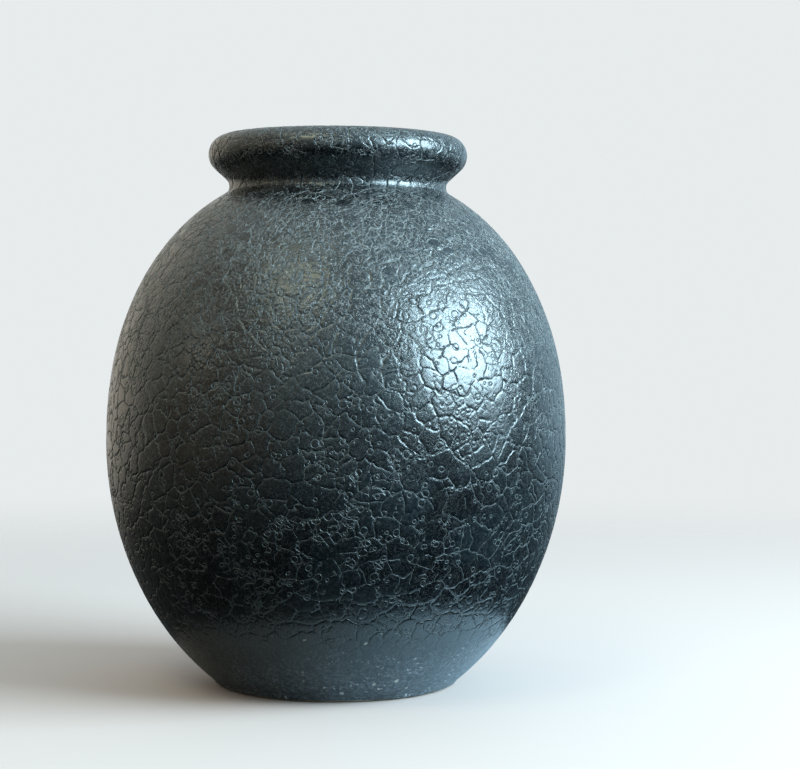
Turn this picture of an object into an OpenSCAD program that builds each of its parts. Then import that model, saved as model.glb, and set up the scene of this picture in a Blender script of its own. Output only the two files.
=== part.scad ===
// Ovoid black-glazed clay pot with a thick rolled lip and a small flat foot.
// Five clay pieces, luted together one on top of another, and the glaze coat
// over them. Every piece is a solid of revolution about +Z. The origin is the
// centre of the foot, on the surface that the pot stands on.

/* [Foot] */
// Radius of the clay foot where it meets the surface
foot_r = 70; // [58:0.5:84]
// Thickness of the floor slab
floor_t = 10; // [8:0.5:14]
// Height of the slab's edge, below the step that the wall stands in
slab_edge_h = 5; // [4:0.5:6]
// Width of the flat ring that the pot rests on
rest_ring_w = 19; // [12:0.5:24]
// Depth of the shallow hollow inside that ring
hollow_depth = 2; // [1:0.25:3]
// Run of the hollow's sloping edge
hollow_slope = 5; // [2:0.5:8]

/* [Body] */
// Radius of the clay at the belly
belly_r = 140.5; // [115:0.5:170]
// Height of the belly's widest ring
belly_z = 149; // [120:1:185]
// Fullness of the curve below the belly, where 2 is an ellipse
lower_fullness = 1.95; // [1.8:0.05:2.4]
// Fullness of the curve above the belly
upper_fullness = 2.2; // [1.8:0.05:2.5]
// Thickness of the walls, square to the surface
wall_t = 8; // [6:0.5:10]

/* [Neck and lip] */
// Radius of the clay at the waist under the lip
waist_r = 65.6; // [53:0.1:78]
// Height at which the shoulder reaches the waist
waist_z = 302.5; // [250:0.5:370]
// Drop from the waist to the middle of the joint below the collar
collar_drop = 5.5; // [4:0.5:7]
// How far outside the waist the middle of the lip's section lies
lip_out = 2.4; // [1:0.1:5]
// Radius of the lip's round section, in clay
lip_section_r = 10.9; // [9:0.1:13]
// Height of the waist's straight stretch, from the shoulder to the lip
waist_h = 6; // [3:0.5:9]
// Slope of the lip's underside, from the level
lip_slope = 42; // [38:0.5:50]

/* [Glaze] */
// Thickness of the glaze
glaze_t = 1.2; // [0.8:0.1:1.6]
// Width of the bare band of clay above the foot
bare_h = 1.5; // [1:0.5:4]
// How far the glaze runs down inside the mouth, from the lip's middle
glaze_reach = 12; // [6:1:16]

/* [Hidden] */
$fn = 120;

CLAY = "#b7a17f";
SLAB_CLAY = "#a8926f";
GLAZE = "#1c2326";

// Steps along each half of the body's outline
STEPS = 28;
// Height and half-height of the body's curve below and above the belly, such
// that it passes through the foot's edge and through the waist
lower_h = belly_z / pow(1 - pow(foot_r / belly_r, lower_fullness), 1 / lower_fullness);
upper_h = (waist_z - belly_z)
          / pow(1 - pow(waist_r / belly_r, upper_fullness), 1 / upper_fullness);
hollow_r = foot_r - rest_ring_w;
// The lip's section follows this circle, and the mouth's bore is tangent to it
lip_r = waist_r + lip_out;
throat_r = lip_r - lip_section_r;
// Where the lip's underside leaves its round section, from the section's middle
tangent_r = lip_section_r * sin(lip_slope);
tangent_z = lip_section_r * cos(lip_slope);
// The underside meets the waist at the top of the straight stretch
crease_z = waist_z + waist_h;
lip_z = crease_z + (lip_r + tangent_r - waist_r) * tan(lip_slope) + tangent_z;
top_z = lip_z + lip_section_r + glaze_t;
// Middle of the slanted joint between shoulder and collar
collar_z = waist_z - collar_drop;
collar_mid_r = (throat_r + waist_r) / 2;
belly_mid_r = belly_r - wall_t / 2;
// Half-height of the slanted joints, more than enough to cross the wall
joint_half = 2.5 * wall_t;
// Farther out than any surface of the pot
reach = belly_r + 2 * wall_t;

// A point of one half of the body's curve, moved off it by a distance along the
// surface's normal. side is -1 below the belly and 1 above it; angle goes from
// 0 at the belly to 90 on the axis.
function body_point(angle, side, off) =
    let (half_h = side < 0 ? lower_h : upper_h)
    let (n = side < 0 ? lower_fullness : upper_fullness)
    let (r = belly_r * pow(cos(angle), 2 / n))
    let (z = half_h * pow(sin(angle), 2 / n))
    let (slope_r = pow(r, n - 1) / pow(belly_r, n))
    let (slope_z = pow(z, n - 1) / pow(half_h, n))
    let (unit = off / norm([slope_r, slope_z]))
    [max(0, r + slope_r * unit), belly_z + side * (z + slope_z * unit)];

// The body's outline, filled to the axis and moved outward by off, from the
// surface that the pot stands on up to the crease below the lip
module body_fill(off) {
    lower = [for (i = [STEPS : -1 : 1]) body_point(90 * i / STEPS, -1, off)];
    upper = [for (i = [0 : STEPS]) body_point(90 * i / STEPS, 1, off)];
    intersection() {
        polygon(concat(lower, upper));
        square([reach, crease_z]);
    }
}

// The lip's section and the waist below it, filled to the axis, grown by off
module neck_fill(off) {
    translate([lip_r, lip_z]) circle(r = lip_section_r + off);
    polygon([
        [0, belly_z],
        [waist_r + off, belly_z],
        [waist_r + off, crease_z - off * tan(45 - lip_slope / 2)],
        [lip_r + tangent_r + off * sin(lip_slope), lip_z - tangent_z - off * cos(lip_slope)],
        [lip_r, lip_z],
        [0, lip_z],
    ]);
}

// Everything at or above a height
module above(z) {
    translate([0, z]) square([reach, top_z]);
}

// Everything below a joint that rises outward at 45 degrees through [mid_r, mid_z]
module below_joint(mid_r, mid_z) {
    polygon([
        [0, -1],
        [reach, -1],
        [reach, mid_z + joint_half],
        [mid_r + joint_half, mid_z + joint_half],
        [mid_r - joint_half, mid_z - joint_half],
        [0, mid_z - joint_half],
    ]);
}

// The inside of the pot, with its mouth
module cavity() {
    intersection() {
        body_fill(-wall_t);
        above(floor_t);
    }
    translate([0, belly_z]) square([throat_r, top_z - belly_z + 1]);
}

// The whole clay body's section, before it is divided into pieces
module clay_section() {
    difference() {
        union() {
            body_fill(0);
            neck_fill(0);
        }
        cavity();
    }
}

// The slab under the step that the wall stands in
module slab_zone() {
    square([reach, slab_edge_h]);
    square([foot_r, floor_t]);
}

// The collar's own zone, a tube up to the middle of the lip
module collar_zone() {
    square([waist_r, lip_z]);
    square([reach, crease_z]);
}

module floor_slab() {
    color(SLAB_CLAY) rotate_extrude() difference() {
        intersection() {
            clay_section();
            slab_zone();
        }
        polygon([
            [0, -1],
            [hollow_r, -1],
            [hollow_r, 0],
            [hollow_r - hollow_slope, hollow_depth],
            [0, hollow_depth],
        ]);
    }
}

module lower_wall() {
    color(CLAY) rotate_extrude() difference() {
        intersection() {
            clay_section();
            below_joint(belly_mid_r, belly_z);
        }
        slab_zone();
    }
}

module upper_wall() {
    color(CLAY) rotate_extrude() difference() {
        intersection() {
            clay_section();
            below_joint(collar_mid_r, collar_z);
        }
        below_joint(belly_mid_r, belly_z);
    }
}

module neck_collar() {
    color(CLAY) rotate_extrude() difference() {
        intersection() {
            clay_section();
            collar_zone();
        }
        below_joint(collar_mid_r, collar_z);
    }
}

module rolled_lip() {
    color(CLAY) rotate_extrude() difference() {
        clay_section();
        collar_zone();
    }
}

module glaze_coat() {
    color(GLAZE) rotate_extrude() difference() {
        intersection() {
            union() {
                body_fill(glaze_t);
                neck_fill(glaze_t);
            }
            above(bare_h);
        }
        body_fill(0);
        neck_fill(0);
    }
    color(GLAZE) rotate_extrude()
        translate([throat_r - glaze_t, lip_z - glaze_reach])
            square([glaze_t, glaze_reach]);
}

floor_slab();
lower_wall();
upper_wall();
neck_collar();
rolled_lip();
glaze_coat();
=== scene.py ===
"""Looks of the black clay pot: a crackled black glaze over pale clay, on a plain pale floor."""

import itertools
import math

import bmesh
import bpy
import numpy as np
from mathutils import Matrix, Vector


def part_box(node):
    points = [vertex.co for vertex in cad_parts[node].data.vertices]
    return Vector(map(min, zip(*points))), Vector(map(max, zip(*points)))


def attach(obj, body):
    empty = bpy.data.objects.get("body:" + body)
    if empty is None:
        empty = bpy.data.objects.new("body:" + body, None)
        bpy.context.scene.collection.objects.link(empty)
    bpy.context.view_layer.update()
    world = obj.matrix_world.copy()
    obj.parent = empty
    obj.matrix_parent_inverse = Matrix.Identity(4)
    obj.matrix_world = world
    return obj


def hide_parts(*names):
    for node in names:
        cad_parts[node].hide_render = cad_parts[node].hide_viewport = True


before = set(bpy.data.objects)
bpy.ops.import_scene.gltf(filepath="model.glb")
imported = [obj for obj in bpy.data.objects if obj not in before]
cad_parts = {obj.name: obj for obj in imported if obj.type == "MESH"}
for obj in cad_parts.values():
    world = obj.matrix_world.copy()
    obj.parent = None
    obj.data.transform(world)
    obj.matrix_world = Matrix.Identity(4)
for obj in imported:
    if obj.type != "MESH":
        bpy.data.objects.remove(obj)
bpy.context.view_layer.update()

MM = 0.001
TAU = 2 * math.pi

ON_SEAM = 1e-3  # mm: how near the XZ plane a CAD vertex on the seam is
FINE_STEP = 0.15  # mm: spacing at which an outline's corners are rounded
CORNER = math.radians(16)  # a bend in a CAD outline sharper than this is a corner

# Building the glaze: sectors round the pot, the outer grid's spacing in mm, and how many of its
# columns and rows go to one of the hidden inner face's
GORES = 12
GLAZE_STEP = 0.6
COLUMN_SKIP = 8
ROW_SKIP = 2

# The glaze's pattern, in mm: how far apart cracks, hair cracks and ring craters lie, how deep each
# kind is, and how far from its middle a line's floor and its edge are
CRACK_SIZE = 11.5
HAIR_SIZE = 4.9
RING_SIZE = 6.6
LINE_DEPTH = {"crack": 0.28, "fine": 0.1, "ring": 0.16}
LINE_FLOOR = 0.1
LINE_EDGE = 0.65
NO_LINE = 9  # a distance at which no line shows
LEAST_GLAZE = 0.35  # what the relief leaves of the coat, away from its ends

# Heights in mm over which the glaze changes: the dull band gives way to gloss, lines come in, dry
# skin comes in, the upper part roughens, smooth spots come in, and the neck calms down
BAND_FADE = (5, 43)
LINES_START = (20, 50)
SKIN_START = (112, 185)
ROUGH_START = (195, 265)
SPOTS_START = (225, 262)
NECK_START = (286, 300)


# ---------------------------------------------------------------------------
# Outlines, read from the revolved CAD solids
# ---------------------------------------------------------------------------


def section(node):
    """The closed outline of a revolved node as (radius, height) rows in mm, read along its seam."""
    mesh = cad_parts[node].data
    places, place_of = {}, {}
    for vertex in mesh.vertices:
        x, y, z = vertex.co / MM
        if abs(y) < ON_SEAM and x > -ON_SEAM:
            key = (round(x, 2), round(z, 2))
            place_of[vertex.index] = places.setdefault(key, len(places))
    links = {}
    for edge in mesh.edges:
        a, b = (place_of.get(i) for i in edge.vertices)
        if a is not None and b is not None and a != b:
            links.setdefault(a, set()).add(b)
            links.setdefault(b, set()).add(a)
    ends = [k for k, v in links.items() if len(v) == 1]
    order = [ends[0] if ends else next(iter(links))]
    while True:
        ahead = [k for k in sorted(links[order[-1]]) if k not in order]
        if not ahead:
            break
        order.append(ahead[0])
    points = np.array(sorted(places, key=places.get))
    return points[order]


def chain(outline, start, end, through):
    """The stretch of a closed outline from one corner to another that passes a third."""
    count = len(outline)
    for turn in (1, -1):
        steps = [(start + turn * k) % count for k in range(count)]
        stretch = steps[: steps.index(end) + 1]
        if through in stretch:
            return outline[stretch]
    raise ValueError("the outline has no such stretch")


def hermite(points, step):
    """A smooth curve through the points, resampled at a spacing."""
    gaps = np.hypot(*np.diff(points, axis=0).T)
    at = np.concatenate([[0], np.cumsum(gaps)])
    slopes = np.empty_like(points)
    flat = np.diff(points, axis=0) / gaps[:, None]
    slopes[0], slopes[-1] = flat[0], flat[-1]
    before, after = gaps[:-1, None], gaps[1:, None]
    slopes[1:-1] = (flat[:-1] * after + flat[1:] * before) / (before + after)
    want = np.linspace(0, at[-1], max(2, int(at[-1] / step) + 1))
    k = np.clip(np.searchsorted(at, want, side="right") - 1, 0, len(gaps) - 1)
    t = ((want - at[k]) / gaps[k])[:, None]
    reach = gaps[k][:, None]
    return (
        (2 * t**3 - 3 * t**2 + 1) * points[k]
        + (t**3 - 2 * t**2 + t) * reach * slopes[k]
        + (3 * t**2 - 2 * t**3) * points[k + 1]
        + (t**3 - t**2) * reach * slopes[k + 1]
    )


def softened(path, spacing, rounding):
    """An evenly spaced outline with its bends rounded off, and its two ends left in place."""
    reach = int(3 * rounding / spacing)
    weights = np.exp(-0.5 * (np.arange(-reach, reach + 1) * spacing / rounding) ** 2)
    weights /= weights.sum()
    low = 2 * path[0] - path[reach:0:-1]
    high = 2 * path[-1] - path[-2 : -reach - 2 : -1]
    padded = np.concatenate([low, path, high])
    return np.stack([np.convolve(c, weights, "valid") for c in padded.T], 1)


def smooth_outline(points, step, rounding):
    """The points joined by smooth curves between corners, with the corners rounded off."""
    turns = np.unwrap(np.arctan2(*np.diff(points, axis=0).T[::-1]))
    bends = [0, *(np.nonzero(np.abs(np.diff(turns)) > CORNER)[0] + 1), len(points) - 1]
    pieces = [hermite(points[a : b + 1], FINE_STEP)[:-1] for a, b in zip(bends, bends[1:])]
    path = np.concatenate([*pieces, points[-1:]])
    if rounding:
        path = softened(path, FINE_STEP, rounding)
    length = lengths_along(path)
    want = np.linspace(0, length[-1], int(round(length[-1] / step)) + 1)
    return np.stack([np.interp(want, length, c) for c in path.T], 1)


def lengths_along(path):
    """The distance along an outline from its start to each of its points."""
    return np.concatenate([[0], np.cumsum(np.hypot(*np.diff(path, axis=0).T))])


def turned(profile, x_share, y_share):
    """Rows of (outward, upward) turned round the axis: a grid of points, or of directions."""
    outward, upward = profile[:, :1], profile[:, 1:]
    return np.stack([outward * x_share, outward * y_share, upward + 0 * x_share], -1)


def normals_of(path):
    """Unit normals of an outline, to the right of its direction of travel."""
    along = np.gradient(path, axis=0)
    along /= np.hypot(*along.T)[:, None]
    return np.stack([along[:, 1], -along[:, 0]], 1)


# ---------------------------------------------------------------------------
# Noise fields in space, in mm, the same on every run
# ---------------------------------------------------------------------------

U32 = np.uint32


def hashed(ix, iy, iz, seed):
    """Repeatable random numbers from 0 to 1 for whole-number places."""
    h = ix * U32(0x8DA6B343) ^ iy * U32(0xD8163841) ^ iz * U32(0xCB1AB31F) ^ U32(seed * 7919 + 13)
    h ^= h >> U32(15)
    h *= U32(0x2C1B3C6D)
    h ^= h >> U32(12)
    h *= U32(0x297A2D39)
    h ^= h >> U32(15)
    return h.astype(np.float32) / np.float32(4294967296.0)


def noise(p, size, seed):
    """Smooth noise from -1 to 1 whose lumps are about size across."""
    q = (p / size).astype(np.float32)
    low = np.floor(q)
    t = q - low
    t = t * t * t * (t * (6 * t - 15) + 10)
    i = low.astype(np.int32).astype(U32).T
    total = 0
    for corner in range(8):
        step = [corner & 1, corner >> 1 & 1, corner >> 2]
        weight = 1
        for axis in range(3):
            weight = weight * (t[:, axis] if step[axis] else 1 - t[:, axis])
        total = total + weight * hashed(*(i[a] + U32(step[a]) for a in range(3)), seed)
    return 2 * total - 1


def noise3(p, size, seed):
    """A vector of three such noises."""
    return np.stack([noise(p, size, seed + k) for k in range(3)], 1)


def cells(p, size, seed, out):
    """For points scattered one to a cube of that size: the way to the nearest one, the distance
    along the surface to the border with the next nearest, with a sign that changes at the
    border, and a random number of the nearest. out is the surface's normal."""
    q = (p / size).astype(np.float32)
    low = np.floor(q).astype(np.int32)
    count = len(q)
    near = np.full(count, np.inf, np.float32)
    next_near = np.full(count, np.inf, np.float32)
    near_at = np.zeros((3, count), np.float32)
    next_at = np.zeros((3, count), np.float32)
    label = np.zeros(count, np.float32)
    next_label = np.zeros(count, np.float32)
    qt = q.T
    for step in itertools.product((-1, 0, 1), repeat=3):
        cube = low.T + np.array(step, np.int32)[:, None]
        i = cube.astype(U32)
        spot = np.stack([cube[a] + hashed(*i, seed + a) for a in range(3)])
        spot = spot.astype(np.float32)
        gap = ((spot - qt) ** 2).sum(0)
        first = gap < near
        second = ~first & (gap < next_near)
        mine = hashed(*i, seed + 3)
        next_label = np.where(first, label, np.where(second, mine, next_label))
        next_at = np.where(first, near_at, np.where(second, spot, next_at))
        next_near = np.where(first, near, np.where(second, gap, next_near))
        near_at = np.where(first, spot, near_at)
        near = np.where(first, gap, near)
        label = np.where(first, mine, label)
    across = next_at - near_at
    apart = np.sqrt((across**2).sum(0))
    tilt = (across * out.T).sum(0) / apart
    flatness = np.sqrt(np.maximum(1 - tilt**2, 0.09))
    border = (next_near - near) / (2 * apart) * size / flatness
    return (near_at - qt).T * size, np.where(label > next_label, border, -border), label


def ramp(x, low, high):
    """A smooth step from 0 at low to 1 at high."""
    t = np.clip((x - low) / (high - low), 0, 1)
    return t * t * (3 - 2 * t)


# ---------------------------------------------------------------------------
# The glaze's relief
# ---------------------------------------------------------------------------

# Chips near the foot: angle from the front in degrees (to the right), height and width in mm
CHIPS = [
    (3, 6.5, 3.2),
    (15, 12.5, 2.6),
    (18, 8.5, 2.0),
    (24, 13.5, 3.4),
    (31, 8.0, 2.4),
    (27, 28.0, 1.6),
    (9, 40.0, 1.4),
    (-9, 42.0, 1.2),
    (140, 9.0, 3.0),
    (205, 14.0, 2.4),
    (262, 7.0, 2.8),
]


def chipped(p, height):
    """1 where the glaze is chipped off and 0 elsewhere."""
    angle = np.degrees(np.arctan2(p[:, 0], -p[:, 1])) % 360
    bare = np.zeros(len(p), np.float32)
    for chip_angle, chip_height, chip_width in CHIPS:
        turn = (angle - chip_angle + 180) % 360 - 180
        side = np.radians(turn) * np.hypot(p[:, 0], p[:, 1])
        far = np.hypot(side, 1.5 * (height - chip_height)) + 1.1 * noise(p, 1.3, seed=70)
        bare = np.maximum(bare, 1 - ramp(far, 0.25 * chip_width, 0.45 * chip_width))
    return bare


def glaze_relief(p, out, height):
    """Height of the glaze over its smooth surface, in mm, and what its material needs to know.
    p is the smooth surface, out its normals, and height is above the floor. Each kind of line is
    passed on twice: as its signed distance, and as a distance that grows where the line fades."""
    # Areas: the dull band above the foot, the rough upper part, and the dry skin over it
    patch = noise(p, 34.0, seed=9) + 0.5 * noise(p, 15.0, seed=10)
    uneven = 7 * noise(p, 22.0, seed=11) + 3 * noise(p, 7.0, seed=12)
    band = 1 - ramp(height + uneven, *BAND_FADE)
    upper = ramp(height + 16 * patch, *ROUGH_START) * (1 - 0.75 * ramp(height, *NECK_START))
    skin = 0.65 * upper + 0.35 * ramp(height + 20 * patch, *SKIN_START)

    # Lines, each as its distance from the point: cracks, hair cracks and the rims of ring craters
    wobbled = p + 2.4 * noise3(p, 10.0, seed=1) + 0.9 * noise3(p, 3.2, seed=5)
    _, crack, _ = cells(wobbled, CRACK_SIZE, 20, out)
    _, fine, _ = cells(wobbled * [1, 1, 1.15], HAIR_SIZE, 30, out)
    centre, _, pick = cells(p + 0.5 * noise3(p, 4.0, seed=35), RING_SIZE, 40, out)
    deep = (centre * out).sum(1)
    level = np.sqrt(np.maximum((centre**2).sum(1) - deep**2, 0))
    radius = 0.9 + 1.5 * ((pick * 7.31) % 1) ** 1.5
    left_out = (pick > 0.85) | (np.abs(deep) > 1.9)
    ring = level - radius + NO_LINE * left_out
    blob, _, choice = cells(p * [1, 1, 1.6], 15.0, 45, out)
    blob = np.linalg.norm(blob, axis=1)

    # How strong each kind of line is, from place to place
    broken = ramp(noise(p, 5.5, seed=50), -0.7, -0.1)
    sparse = ramp(noise(p, 8.0, seed=51) + 0.7 * patch + 0.9 * upper, 0.2, 0.9)
    smooth_spot = ramp(height, *SPOTS_START) * (choice > 0.45) * (1 - ramp(blob, 3.4, 4.6))
    above_band = ramp(height + 5 * noise(p, 18.0, seed=13), *LINES_START)
    painted_card = np.maximum(above_band, 0.04) * (1 - smooth_spot)
    lines = {
        "crack": (crack, painted_card * (0.45 + 0.55 * broken)),
        "fine": (fine, painted_card * (0.4 + 0.6 * sparse)),
        "ring": (ring, painted_card * (1 - 0.3 * upper)),
    }

    relief = 0.18 * noise(p, 40.0, seed=62) - 0.34
    for name, (gap, weight) in lines.items():
        relief -= LINE_DEPTH[name] * weight * (1 - ramp(np.abs(gap), LINE_FLOOR, LINE_EDGE))
    relief -= 0.06 * (1 - ramp(np.abs(crack), 0, 2.2)) * painted_card
    peel = 0.06 * noise(p, 1.4, seed=60) + 0.08 * noise(p, 3.0, seed=61)
    relief += peel * (1 - 0.8 * smooth_spot) * (0.15 + 0.95 * upper + 0.45 * band)

    bare = chipped(p, height)
    relief -= 0.3 * bare

    marks = {"band": band, "skin": skin * (1 - smooth_spot), "bare": bare}
    for name, (gap, weight) in lines.items():
        marks[name] = gap
        marks[name + "_far"] = np.abs(gap) + 2 * (1 - weight)
    return relief, marks


# ---------------------------------------------------------------------------
# Meshes
# ---------------------------------------------------------------------------


def mesh_object(name, verts, faces, material):
    """An object from vertices in mm and a list of whole-number face arrays, each of one size."""
    mesh = bpy.data.meshes.new(name)
    loops = np.concatenate([f.ravel() for f in faces]).astype(np.int32)
    sizes = np.concatenate([np.full(len(f), f.shape[1], np.int32) for f in faces])
    starts = np.concatenate([[0], np.cumsum(sizes)[:-1]]).astype(np.int32)
    mesh.vertices.add(len(verts))
    mesh.vertices.foreach_set("co", (verts * MM).astype(np.float32).ravel())
    mesh.loops.add(len(loops))
    mesh.loops.foreach_set("vertex_index", loops)
    mesh.polygons.add(len(sizes))
    mesh.polygons.foreach_set("loop_start", starts)
    mesh.update(calc_edges=True)
    mesh.polygons.foreach_set("use_smooth", np.ones(len(sizes), bool))
    mesh.materials.append(material)
    obj = bpy.data.objects.new(name, mesh)
    bpy.context.scene.collection.objects.link(obj)
    return obj, loops


def grid_faces(rows, columns, first=0, flip=False):
    """Quads of a grid of points that is stored row by row."""
    a = first + np.arange((rows - 1) * columns).reshape(rows - 1, columns)[:, :-1].ravel()
    quads = np.stack([a, a + 1, a + 1 + columns, a + columns], 1)
    return quads[:, ::-1] if flip else quads


def glaze_outline():
    """The glaze's outer outline from the foot over the lip and into the mouth, and its thickness."""
    outline = section("glaze_coat")
    r, z = outline.T
    foot = int(np.lexsort((-r, z))[0])
    belly = int(np.argmax(r))
    inside = np.nonzero(r < r.min() + 0.02)[0]
    mouth_end = int(inside[np.argmin(z[inside])])
    outer = chain(outline, foot, mouth_end, belly)
    wall_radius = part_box("lower_wall")[1].x / MM
    return outer, outer[:, 0].max() - wall_radius


def fill_crease(path, along):
    """Glaze gathers in the crease under the lip, so the outline bends softly there."""
    belly, top = np.argmax(path, axis=0)
    waist = path[belly:top, 0]
    narrow = along[belly:top][waist < waist.min() + 0.1].mean()
    near = np.exp(-(((along - narrow) / 6.0) ** 2))[:, None]
    return path + near * (softened(path, along[1], 2.4) - path)


def glaze_rows():
    """The glaze's smooth outline in even steps, the distance along it, and its thickness."""
    outer, thickness = glaze_outline()
    path = smooth_outline(outer, GLAZE_STEP, 0.9)
    rows = (len(path) - 1) // ROW_SKIP * ROW_SKIP + 1
    length = lengths_along(path)
    along = np.linspace(0, length[-1], rows)
    path = np.stack([np.interp(along, length, c) for c in path.T], 1)
    return fill_crease(path, along), along, thickness


def hidden_faces(rows, columns, in_rows, in_wide):
    """The faces of a glaze sector behind its outer grid: the inner face and the four rims, which
    join the fine outer grid to the coarse inner one."""
    wide = columns + 1
    first = rows * wide
    j = np.arange(in_rows - 1)[:, None]
    k = np.arange(in_wide - 1)[:, None]
    step = np.arange(COLUMN_SKIP + 1)
    rise = np.arange(ROW_SKIP + 1)
    left_outer = (j * ROW_SKIP + rise[::-1]) * wide
    left_inner = first + (j + [0, 1]) * in_wide
    right_outer = (j * ROW_SKIP + rise) * wide + columns
    right_inner = first + (j + [1, 0]) * in_wide + in_wide - 1
    low_outer = k * COLUMN_SKIP + step
    low_inner = first + k + [1, 0]
    high_outer = (rows - 1) * wide + k * COLUMN_SKIP + step[::-1]
    high_inner = first + (in_rows - 1) * in_wide + k + [0, 1]
    pairs = [
        (left_outer, left_inner),
        (right_outer, right_inner),
        (low_outer, low_inner),
        (high_outer, high_inner),
    ]
    rims = [np.concatenate(pair, 1)[:, ::-1] for pair in pairs]
    return [grid_faces(in_rows, in_wide, first, flip=True), *rims]


def store_marks(piece, marks, rows, hidden_count):
    """Keeps what the material needs to know on the sector's vertices."""
    for name, values in marks.items():
        layer = piece.data.attributes.new(name, "FLOAT", "POINT")
        field = values.reshape(rows, -1)[:, 1:-1].ravel()
        unseen = np.full(hidden_count, 0 if name in ("band", "skin", "bare") else NO_LINE)
        layer.data.foreach_set("value", np.concatenate([field, unseen]).astype(np.float32))


def unwrap(piece, loops, outside_count, rows, columns, in_rows):
    """A map for the export: the sector's outside in two tall halves side by side, and the hidden
    faces in a thin strip below them."""
    wide = columns + 1
    row, column = np.divmod(loops, wide)
    half = rows // 2
    upper = np.repeat(row[:outside_count].reshape(-1, 4).min(1) >= half, 4)
    u = np.empty(len(loops))
    v = np.empty(len(loops))
    shown = slice(0, outside_count)
    u[shown] = 0.005 + 0.48 * column[shown] / columns + 0.51 * upper
    v[shown] = 0.05 + 0.945 * (row[shown] - half * upper) / half
    rest = slice(outside_count, None)
    u[rest] = 0.02 + 0.96 * (loops[rest] % wide) / wide
    v[rest] = 0.005 + 0.03 * (loops[rest] // wide) / (rows + in_rows)
    uv = piece.data.uv_layers.new(name="OFBake")
    uv.data.foreach_set("uv", np.stack([u, v], 1).astype(np.float32).ravel())


def make_glaze(material):
    """The glaze as closed sectors side by side. Each is worked out one column wider on both
    sides than it is built, so that the normals match across the seams."""
    path, along, thickness = glaze_rows()
    rows = len(path)
    side = normals_of(path)
    belly_round = TAU * path[:, 0].max()
    columns = int(round(belly_round / GLAZE_STEP / GORES / COLUMN_SKIP)) * COLUMN_SKIP
    # Towards its two ends the coat rounds over and its relief fades out
    ends = np.minimum(along, along[-1] - along)
    curl = thickness * 0.95 * (1 - np.sqrt(1 - np.clip(1 - ends / (0.8 * thickness), 0, 1) ** 2))
    calm = ramp(ends, 0.0, 3.0)
    back = (path - side * thickness)[::ROW_SKIP]

    for gore in range(GORES):
        ticks = gore * columns + np.arange(-1, columns + 2)
        angles = ticks / (GORES * columns) * TAU
        x_share, y_share = np.sin(angles), -np.cos(angles)
        base = turned(path, x_share, y_share)
        out = turned(side, x_share, y_share)
        flat_base = base.reshape(-1, 3)
        relief, marks = glaze_relief(flat_base, out.reshape(-1, 3), flat_base[:, 2])
        relief = np.clip(relief, LEAST_GLAZE - thickness, 0)
        relief = relief.reshape(rows, -1) * calm[:, None] - curl[:, None]
        surface = base + out * relief[..., None]
        foot_wave = 0.35 * noise(base[0], 9.0, seed=80) - 0.6
        surface[..., 2] += foot_wave * (1 - ramp(along, 0, 4.0))[:, None]

        du = surface[:, 2:] - surface[:, :-2]
        dv = np.gradient(surface, axis=0)[:, 1:-1]
        normal = np.cross(du, dv)
        normal /= np.linalg.norm(normal, axis=-1, keepdims=True)
        surface = surface[:, 1:-1]
        inner = turned(back, x_share[1:-1][::COLUMN_SKIP], y_share[1:-1][::COLUMN_SKIP])
        inner_normal = -out[::ROW_SKIP, 1:-1][:, ::COLUMN_SKIP]
        verts = np.concatenate([surface.reshape(-1, 3), inner.reshape(-1, 3)])
        vert_normals = np.concatenate([normal.reshape(-1, 3), inner_normal.reshape(-1, 3)])

        in_rows, in_wide = inner.shape[:2]
        outside = grid_faces(rows, columns + 1)
        faces = [outside, *hidden_faces(rows, columns, in_rows, in_wide)]
        piece, loops = mesh_object(f"glaze_{gore + 1:02d}", verts, faces, material)
        piece.data.normals_split_custom_set_from_vertices(vert_normals)
        store_marks(piece, marks, rows, in_rows * in_wide)
        unwrap(piece, loops, outside.size, rows, columns, in_rows)
        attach(piece, "root")
        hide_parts("glaze_coat")


def make_clay(node, material, step, columns, marks):
    """A clay piece turned from its CAD section, with the marks of the potter's hand on its
    bare faces. marks says how far each surface point moves along its normal, which is at most
    some tenths of a mm and only inwards."""
    outline = section(node)
    closed = outline[0, 0] > 0.5
    if closed:
        outline = np.concatenate([outline, outline[:1]])
    area = np.sum(outline[:-1, 0] * outline[1:, 1] - outline[1:, 0] * outline[:-1, 1])
    if area < 0:
        outline = outline[::-1]
    path = smooth_outline(outline, step, 0)
    side = normals_of(path)
    if closed:
        path, side = path[:-1], side[:-1]
    rows = len(path)
    angles = np.arange(columns) / columns * TAU
    base = turned(path, np.cos(angles), np.sin(angles))
    out = turned(side, np.cos(angles), np.sin(angles))
    moved = marks(base.reshape(-1, 3), out.reshape(-1, 3)).reshape(rows, columns)
    surface = base + out * np.minimum(moved, 0)[..., None]
    ring = np.arange(columns)
    row = np.arange(rows if closed else rows - 1)[:, None]
    a = row * columns + ring
    b = row * columns + (ring + 1) % columns
    up = (row + 1) % rows * columns
    quads = np.stack([a, b, up + (ring + 1) % columns, up + ring], -1).reshape(-1, 4)
    piece, _ = mesh_object(node + "_clay", surface.reshape(-1, 3), [quads], material)
    if not closed:
        weld_axis(piece)
    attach(piece, "root")
    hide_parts(node)


def weld_axis(piece):
    """Joins the points that a disc's mesh has on the pot's axis."""
    mesh = bmesh.new()
    mesh.from_mesh(piece.data)
    centre = [v for v in mesh.verts if v.co.xy.length < 1e-5]
    bmesh.ops.remove_doubles(mesh, verts=centre, dist=1e-5)
    bmesh.ops.dissolve_degenerate(mesh, dist=1e-7, edges=mesh.edges)
    mesh.to_mesh(piece.data)
    mesh.free()


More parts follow.
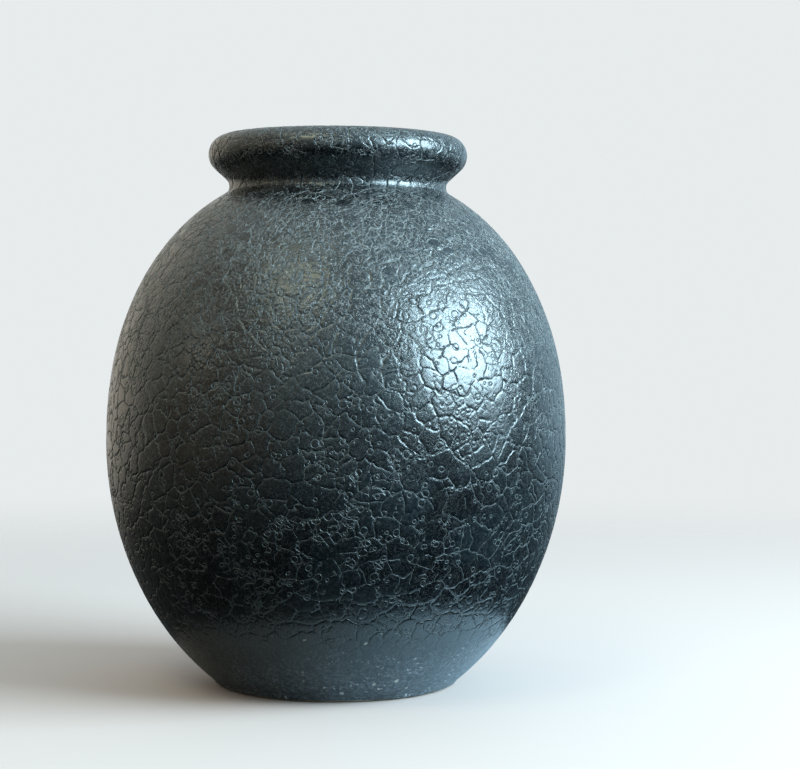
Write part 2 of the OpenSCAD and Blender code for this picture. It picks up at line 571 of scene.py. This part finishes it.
def throwing_rings(p, out):
    """Shallow finger rings inside the pot, and none on the faces that meet other pieces."""
    axis_gap = np.hypot(p[:, 0], p[:, 1])
    turn = np.arctan2(p[:, 1], p[:, 0]) / TAU
    inward = -(out[:, 0] * p[:, 0] + out[:, 1] * p[:, 1]) / np.maximum(axis_gap, 1)
    free = ramp(inward, 0.2, 0.6)
    spiral = np.sin(TAU * (p[:, 2] / 7.5 + turn))
    return free * (0.22 * spiral + 0.12 * noise(p, 9.0, seed=90) - 0.36)


def foot_marks(p, out):
    """A wire-cut swirl under the foot and a finger spiral on the floor inside."""
    axis_gap = np.hypot(p[:, 0], p[:, 1])
    turn = np.arctan2(p[:, 1], p[:, 0]) / TAU
    under = ramp(-out[:, 2], 0.7, 0.95) * ramp(p[:, 2], 0.4, 1.2)
    above = ramp(out[:, 2], 0.9, 0.99) * ramp(66 - axis_gap, 0, 4)
    spiral = np.sin(TAU * (axis_gap / 6.5 + turn))
    fine = np.sin(TAU * (axis_gap / 1.9 + 0.4 * noise(p, 14.0, seed=92)))
    swirl = above * ramp(axis_gap, 0, 6) * (0.25 * spiral - 0.3)
    return swirl + under * (0.08 * fine + 0.1 * noise(p, 8, seed=91) - 0.2)


# ---------------------------------------------------------------------------
# Materials
# ---------------------------------------------------------------------------


class Nodes:
    """A short way to write a node tree."""

    def __init__(self, tree):
        self.tree = tree
        tree.nodes.clear()

    def add(self, kind, inputs=(), **settings):
        """A node with its settings, and its inputs given as numbers, colours or sockets."""
        node = self.tree.nodes.new(kind)
        for key, value in settings.items():
            setattr(node, key, value)
        for key, value in dict(inputs).items():
            if isinstance(value, bpy.types.NodeSocket):
                self.tree.links.new(value, node.inputs[key])
            else:
                node.inputs[key].default_value = value
        return node

    def math(self, operation, a, b=0.0, clamp=False):
        """The result of one Math node."""
        return self.add("ShaderNodeMath", {0: a, 1: b}, operation=operation, use_clamp=clamp).outputs[0]

    def times(self, a, b):
        return self.math("MULTIPLY", a, b)

    def plus(self, a, b):
        return self.math("ADD", a, b)

    def larger(self, a, b):
        return self.math("MAXIMUM", a, b)

    def field(self, name):
        """A number that is kept on the mesh's vertices."""
        return self.add("ShaderNodeAttribute", attribute_name=name).outputs["Fac"]

    def spread(self, value, low, high, to_low=0.0, to_high=1.0):
        """A smooth step from to_low to to_high as the value goes from low to high."""
        inputs = {"Value": value, "From Min": low, "From Max": high, "To Min": to_low, "To Max": to_high}
        return self.add("ShaderNodeMapRange", inputs, interpolation_type="SMOOTHSTEP").outputs[0]

    def line(self, name, strength):
        """A thin line where the surface's field of that name changes sign."""
        far = self.math("SUBTRACT", self.field(name + "_far"), 0.35)
        gap = self.larger(self.math("ABSOLUTE", self.field(name)), far)
        return self.spread(gap, 0.05, 0.31, strength, 0.0)

    def mix(self, amount, a, b):
        """Colour a turning to colour b. A Mix node has colours on sockets 6, 7 and output 2."""
        return self.add("ShaderNodeMix", {0: amount, 6: a, 7: b}, data_type="RGBA").outputs[2]

    def noise(self, place, scale, detail=2.0, roughness=0.5, distortion=0.0):
        """The value of one Noise Texture node, mostly from 0.3 to 0.7."""
        inputs = {"Vector": place, "Scale": scale, "Detail": detail}
        inputs.update({"Roughness": roughness, "Distortion": distortion})
        return self.add("ShaderNodeTexNoise", inputs).outputs["Fac"]


def shade(red, green, blue):
    """An opaque colour."""
    return (red, green, blue, 1.0)


# Colours of the glaze: its body, the dry skin, the dusty band, and what lies on them. The pale line
# colours are painted glints, and so are the pale curls away from the band
DEEP_BLACK = shade(0.0016, 0.0024, 0.003)
BLUE_BLACK = shade(0.003, 0.0078, 0.0105)
SKIN_GREY = shade(0.026, 0.029, 0.03)
DUST_GREY = shade(0.02, 0.027, 0.034)
CRUMB_GREY = shade(0.16, 0.2, 0.23)
# Pale curls: painted glints on the gloss and the dry skin, and pale dusty curls on the band
CURL_GLINT_AND_DUST_GREY = shade(0.22, 0.25, 0.255)
# Painted glints: the pale colours of the lines, dim on the gloss and bright on the dry skin
PAINTED_GLINT_LINE_GLOSS = shade(0.075, 0.105, 0.112)
PAINTED_GLINT_LINE_SKIN = shade(0.27, 0.315, 0.32)
FLAKE_WHITE = shade(0.5, 0.56, 0.58)
CHIP_CLAY = shade(0.45, 0.42, 0.37)
CHIP_PALE = shade(0.62, 0.61, 0.57)


def new_material(name):
    """A material, and the short way to write its node tree."""
    material = bpy.data.materials.new(name)
    material.use_nodes = True
    return material, Nodes(material.node_tree)


def glaze_material():
    """Glossy black with lines and curls painted pale as glints, dry grey skin above, a dusty band below
    and bare chips.
    """
    material, n = new_material("black_crackle_glaze")
    place = n.add("ShaderNodeTexCoord").outputs["Object"]
    band = n.field("band")
    skin = n.field("skin")
    thin = n.larger(n.line("fine", 0.7), n.line("ring", 0.85))
    lines = n.larger(n.line("crack", 1.0), thin)

    # Patterns finer than the mesh
    curls = n.noise(place, 380.0, 2.5, 0.6, 0.8)
    curl_line = n.spread(n.math("ABSOLUTE", n.math("SUBTRACT", curls, 0.5)), 0.005, 0.035, 1.0, 0.0)
    speck = n.noise(place, 1400.0, 2.0)
    cloud = n.noise(place, 26.0, 3.0, 0.6)
    vein = n.spread(n.noise(place, 90.0, 2.0), 0.3, 0.7, 0.35, 1.0)
    mottle = n.spread(n.noise(place, 210.0, 3.0, 0.6), 0.45, 0.62)
    crumb = n.spread(n.noise(place, 430.0, 4.0, 0.7), 0.48, 0.64)

    # Colour, from the glaze's body up to what lies on it
    body = n.mix(n.spread(cloud, 0.35, 0.68), DEEP_BLACK, BLUE_BLACK)
    body = n.mix(n.times(mottle, skin), body, SKIN_GREY)
    dusty = n.times(band, n.spread(cloud, 0.3, 0.7, 0.5, 1.0))
    body = n.mix(dusty, body, DUST_GREY)
    body = n.mix(n.times(crumb, n.times(band, 0.7)), body, CRUMB_GREY)
    # Pale curls painted as glints over the gloss and the skin, and as pale dust on the band
    curl_glint_and_dust_reach = n.larger(n.spread(skin, 0.0, 1.0, 0.17, 0.75), n.times(band, 0.6))
    body = n.mix(n.times(curl_line, curl_glint_and_dust_reach), body, CURL_GLINT_AND_DUST_GREY)
    # The lines' pale colour is a painted glint on their edges, dim on the gloss and bright on the skin
    painted_line_glint = n.mix(skin, PAINTED_GLINT_LINE_GLOSS, PAINTED_GLINT_LINE_SKIN)
    body = n.mix(n.times(lines, vein), body, painted_line_glint)
    flake = n.times(n.spread(n.noise(place, 60.0, 1.0), 0.46, 0.58), band)
    flake = n.times(n.spread(n.noise(place, 500.0, 2.0, 0.6), 0.62, 0.66), flake)
    body = n.mix(flake, body, FLAKE_WHITE)
    clay = n.mix(speck, CHIP_CLAY, CHIP_PALE)
    colour = n.mix(n.field("bare"), body, clay)

    # Lines, dust and bare clay are rougher than the gloss
    rough = n.spread(cloud, 0.3, 0.7, 0.2, 0.3)
    rough = n.plus(rough, n.times(lines, 0.5))
    rough = n.plus(rough, n.times(band, 0.12))
    rough = n.math("ADD", rough, n.times(n.field("bare"), 0.3), clamp=True)

    # Relief finer than the mesh
    curl_height = n.math("SUBTRACT", n.times(curls, 2.0), n.times(curl_line, 0.8))
    curl_depth = n.larger(n.spread(skin, 0.32, 1.0, 0.08, 1.0), n.times(band, 1.7))
    height = n.times(curl_height, curl_depth)
    height = n.plus(height, n.times(speck, 0.3))
    height = n.plus(height, n.times(lines, -1.6))
    bump = n.add("ShaderNodeBump", {"Height": height, "Strength": 0.8, "Distance": 0.00025}).outputs[0]

    looks = {"Base Color": colour, "Roughness": rough, "Normal": bump}
    surface = n.add("ShaderNodeBsdfPrincipled", looks)
    surface.inputs["IOR"].default_value = 1.85
    surface.inputs["Specular Tint"].default_value = shade(0.82, 0.96, 1.0)
    n.add("ShaderNodeOutputMaterial", {"Surface": surface.outputs[0]})
    return material


def clay_material(name, dark, pale):
    """Matt fired clay between two colours, with darker grains in it."""
    material, n = new_material(name)
    place = n.add("ShaderNodeTexCoord").outputs["Object"]
    cloud = n.noise(place, 30.0, 4.0, 0.6)
    grain = n.noise(place, 900.0, 3.0, 0.6)
    grog = n.add("ShaderNodeTexVoronoi", {"Vector": place, "Scale": 420.0}).outputs["Distance"]
    colour = n.mix(n.spread(cloud, 0.3, 0.7), dark, pale)
    colour = n.mix(n.spread(grog, 0.1, 0.3, 0.45, 0.0), colour, shade(0.2, 0.15, 0.1))
    colour = n.mix(n.times(grain, 0.3), colour, shade(0.7, 0.64, 0.55))
    rough = n.spread(grain, 0.3, 0.7, 0.78, 0.92)
    height = n.plus(grain, n.times(grog, 0.7))
    bump = n.add("ShaderNodeBump", {"Height": height, "Strength": 0.5, "Distance": 0.0003}).outputs[0]
    looks = {"Base Color": colour, "Roughness": rough, "Normal": bump}
    surface = n.add("ShaderNodeBsdfPrincipled", looks)
    n.add("ShaderNodeOutputMaterial", {"Surface": surface.outputs[0]})
    return material


# ---------------------------------------------------------------------------
# The floor, the light and the camera
# ---------------------------------------------------------------------------


def disc(name, radius, height, material):
    """A flat round stage piece. Its sizes are in metres."""
    angles = np.arange(128) / 128 * TAU
    rim = np.stack([radius * np.cos(angles), radius * np.sin(angles), height + 0 * angles], 1)
    obj, _ = mesh_object(name, rim / MM, [np.arange(128)[None, :]], material)
    return obj


def make_stage():
    """A pale floor that fades into the backdrop, seen by the camera only, and a card just under it that
    the camera can't see, which gives the pot's lower part something to reflect: its colour has painted
    shade on the left and painted cool light on the right."""
    pale = shade(0.61, 0.55, 0.525)
    material, n = new_material("pale_floor")
    place = n.add("ShaderNodeTexCoord").outputs["Object"]
    far = n.add("ShaderNodeVectorMath", {0: place}, operation="LENGTH").outputs["Value"]
    paint = n.add("ShaderNodeBsdfPrincipled", {"Base Color": pale, "Roughness": 0.7})
    clear = n.add("ShaderNodeBsdfTransparent")
    fade = n.spread(far, 0.2, 1.5)
    both = n.add("ShaderNodeMixShader", {0: fade, 1: paint.outputs[0], 2: clear.outputs[0]})
    n.add("ShaderNodeOutputMaterial", {"Surface": both.outputs[0]})
    floor = disc("floor", 3.4, 0.0, material)
    floor.visible_glossy = False
    floor.visible_diffuse = False
    floor.visible_shadow = False

    painted_card, n = new_material("card_painted_light_and_shade")
    place = n.add("ShaderNodeTexCoord").outputs["Object"]
    across = n.add("ShaderNodeSeparateXYZ", {0: place}).outputs[0]
    # Painted shade and light: the card is darker on the left where the pot's shadow falls, and paler and
    # cooler on the right towards the window
    colour = n.mix(n.spread(across, -0.08, 0.12), shade(0.2, 0.19, 0.175), shade(0.6, 0.75, 0.86))
    paint = n.add("ShaderNodeBsdfPrincipled", {"Base Color": colour, "Roughness": 0.7})
    n.add("ShaderNodeOutputMaterial", {"Surface": paint.outputs[0]})
    card = disc("floor_near_the_pot", 0.145, -0.001, painted_card)
    card.location.x = 0.012
    card.visible_camera = False
    card.visible_shadow = False


def make_world():
    """A room for the pot to reflect: bright above and behind, dim in front, dark below, warmer on
    the left and cooler on the right. The camera itself sees a plain pale backdrop."""
    world = bpy.data.worlds.new("room")
    world.use_nodes = True
    n = Nodes(world.node_tree)
    toward = n.add("ShaderNodeTexCoord").outputs["Generated"]
    x, y, z = n.add("ShaderNodeSeparateXYZ", {0: toward}).outputs
    steps = [
        (-1.0, (0.03, 0.036, 0.04)),
        (-0.7, (0.016, 0.02, 0.024)),
        (-0.5, (0.02, 0.025, 0.03)),
        (-0.25, (0.05, 0.062, 0.07)),
        (0.0, (0.15, 0.18, 0.2)),
        (0.35, (0.38, 0.45, 0.47)),
        (0.7, (0.58, 0.66, 0.69)),
        (1.0, (0.62, 0.7, 0.74)),
    ]
    climb = n.add("ShaderNodeMapRange", {"Value": z, "From Min": -1.0, "From Max": 1.0}).outputs[0]
    bands = n.add("ShaderNodeValToRGB", {"Fac": climb})
    elements = bands.color_ramp.elements
    while len(elements) < len(steps):
        elements.new(0.5)
    for element, (at, colour) in zip(elements, steps):
        element.position = (at + 1) / 2
        element.color = shade(*colour)
    room = bands.outputs[0]
    wall = n.mix(n.spread(x, -0.6, 0.6), shade(0.72, 0.765, 0.76), shade(0.6, 0.7, 0.76))
    behind = n.times(n.spread(y, 0.15, 0.75), n.spread(z, -0.25, 0.0))
    room = n.mix(n.times(behind, n.spread(z, 0.9, 0.5)), room, wall)
    left = n.times(n.spread(x, -0.25, -0.9), n.spread(z, -0.4, 0.1))
    left = n.times(left, n.spread(y, 0.5, -0.1))
    room = n.mix(n.times(left, 0.85), room, shade(0.17, 0.145, 0.12))
    tint = n.mix(n.spread(x, -0.8, 0.7), shade(1.22, 1.0, 0.82), shade(0.9, 1.16, 1.3))
    room = n.add("ShaderNodeVectorMath", {0: room, 1: tint}, operation="MULTIPLY").outputs[0]
    seen = n.add("ShaderNodeBackground", {"Color": shade(0.80, 0.835, 0.845)})
    lit = n.add("ShaderNodeBackground", {"Color": room})
    ray = n.add("ShaderNodeLightPath").outputs["Is Camera Ray"]
    both = n.add("ShaderNodeMixShader", {0: ray, 1: lit.outputs[0], 2: seen.outputs[0]})
    n.add("ShaderNodeOutputWorld", {"Surface": both.outputs[0]})
    bpy.context.scene.world = world


def area_light(name, azimuth, elevation, distance, width, tall, radiance, colour):
    """A soft light at a direction from the pot. The azimuth runs from +X towards +Y, in degrees."""
    centre = Vector((0, 0, 0.2))
    a, e = math.radians(azimuth), math.radians(elevation)
    toward = Vector((math.cos(a) * math.cos(e), math.sin(a) * math.cos(e), math.sin(e)))
    light = bpy.data.lights.new(name, "AREA")
    light.shape = "RECTANGLE"
    light.size, light.size_y = width, tall
    light.energy = radiance * math.pi * width * tall
    light.color = colour
    obj = bpy.data.objects.new(name, light)
    bpy.context.scene.collection.objects.link(obj)
    obj.location = centre + toward * distance
    obj.rotation_mode = "QUATERNION"
    obj.rotation_quaternion = toward.to_track_quat("Z", "Y")
    obj.visible_camera = False


def make_lights():
    """A cool window at the right, and two weak warm lamps, above the front and at the left."""
    cool, warm, amber = (0.72, 0.9, 1.0), (1.0, 0.9, 0.62), (1.0, 0.86, 0.68)
    area_light("window", -21, 25.7, distance=2.0, width=1.6, tall=1.1, radiance=18.0, colour=cool)
    area_light("lamp", -121, 52, distance=1.8, width=0.6, tall=0.6, radiance=4.0, colour=warm)
    area_light("far_lamp", -166, 22, distance=1.8, width=0.3, tall=0.3, radiance=3.0, colour=amber)


def make_camera():
    """1.22 m in front of the pot, 218 mm up, looking slightly down and past its right side."""
    data = bpy.data.cameras.new("camera")
    data.sensor_width = 36.0
    data.lens = 88.8
    data.clip_start = 0.05
    data.clip_end = 50
    camera = bpy.data.objects.new("camera", data)
    bpy.context.scene.collection.objects.link(camera)
    yaw, pitch, roll = math.radians(1.83), math.radians(1.55), math.radians(0.29)
    ahead = Vector((math.sin(yaw) * math.cos(pitch), math.cos(yaw) * math.cos(pitch), -math.sin(pitch)))
    right = ahead.cross(Vector((0, 0, 1))).normalized()
    up = right.cross(ahead)
    turned_right = right * math.cos(roll) + up * math.sin(roll)
    turned_up = up * math.cos(roll) - right * math.sin(roll)
    matrix = Matrix((turned_right, turned_up, -ahead)).transposed().to_4x4()
    matrix.translation = Vector((0, -1.222, 0.2175))
    camera.matrix_world = matrix
    bpy.context.scene.camera = camera


make_glaze(glaze_material())
wall_clay = clay_material("wall_clay", shade(0.36, 0.29, 0.21), shade(0.5, 0.42, 0.32))
slab_clay = clay_material("slab_clay", shade(0.42, 0.36, 0.28), shade(0.56, 0.49, 0.39))
make_clay("floor_slab", slab_clay, step=1.2, columns=360, marks=foot_marks)
make_clay("lower_wall", wall_clay, step=1.5, columns=360, marks=throwing_rings)
make_clay("upper_wall", wall_clay, step=1.5, columns=360, marks=throwing_rings)
make_clay("neck_collar", wall_clay, step=1.2, columns=300, marks=throwing_rings)
make_clay("rolled_lip", wall_clay, step=1.2, columns=300, marks=throwing_rings)
make_stage()
make_world()
make_lights()
make_camera()
bpy.context.scene.view_settings.view_transform = "Standard"
